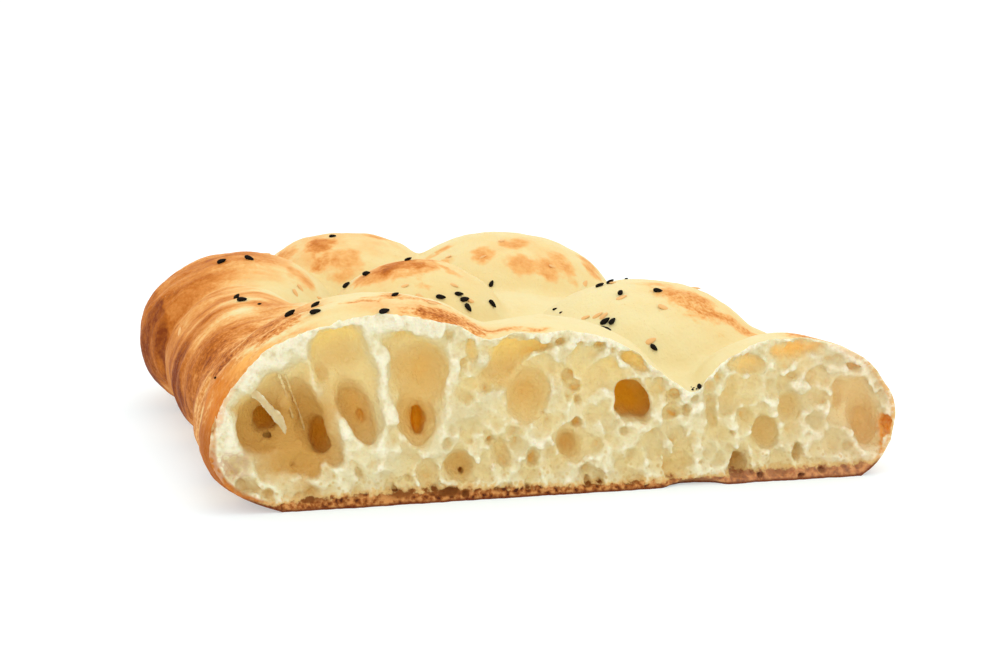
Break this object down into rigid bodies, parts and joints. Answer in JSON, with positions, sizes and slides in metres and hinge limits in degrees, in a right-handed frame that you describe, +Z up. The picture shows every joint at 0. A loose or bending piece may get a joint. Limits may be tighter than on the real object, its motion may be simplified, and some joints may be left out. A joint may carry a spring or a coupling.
{
  "type": "cut piece of flatbread",
  "caption": "Cut piece of thick oven flatbread: dimpled pillowy crust with seeds, rounded baked edges, a flat underside and a straight cut face that shows a very open crumb.",
  "frame": {"origin": "middle of the bread's footprint box, on the surface it lies on", "axes": "+Z up out of the dimpled crust, -Y out of the cut face, +X along the cut face to the right as the cut face is looked at"},
  "size_m": [0.1992, 0.1852, 0.0513],
  "materials": {
    "bread": "matte baked crust, with a pale, slightly moist crumb at the cut",
    "nigella": "matte black seed coat",
    "sesame": "toasted seed, slightly oily"
  },
  "bodies": {
    "root": {"bread": "bread"}
  },
  "joints": []
}
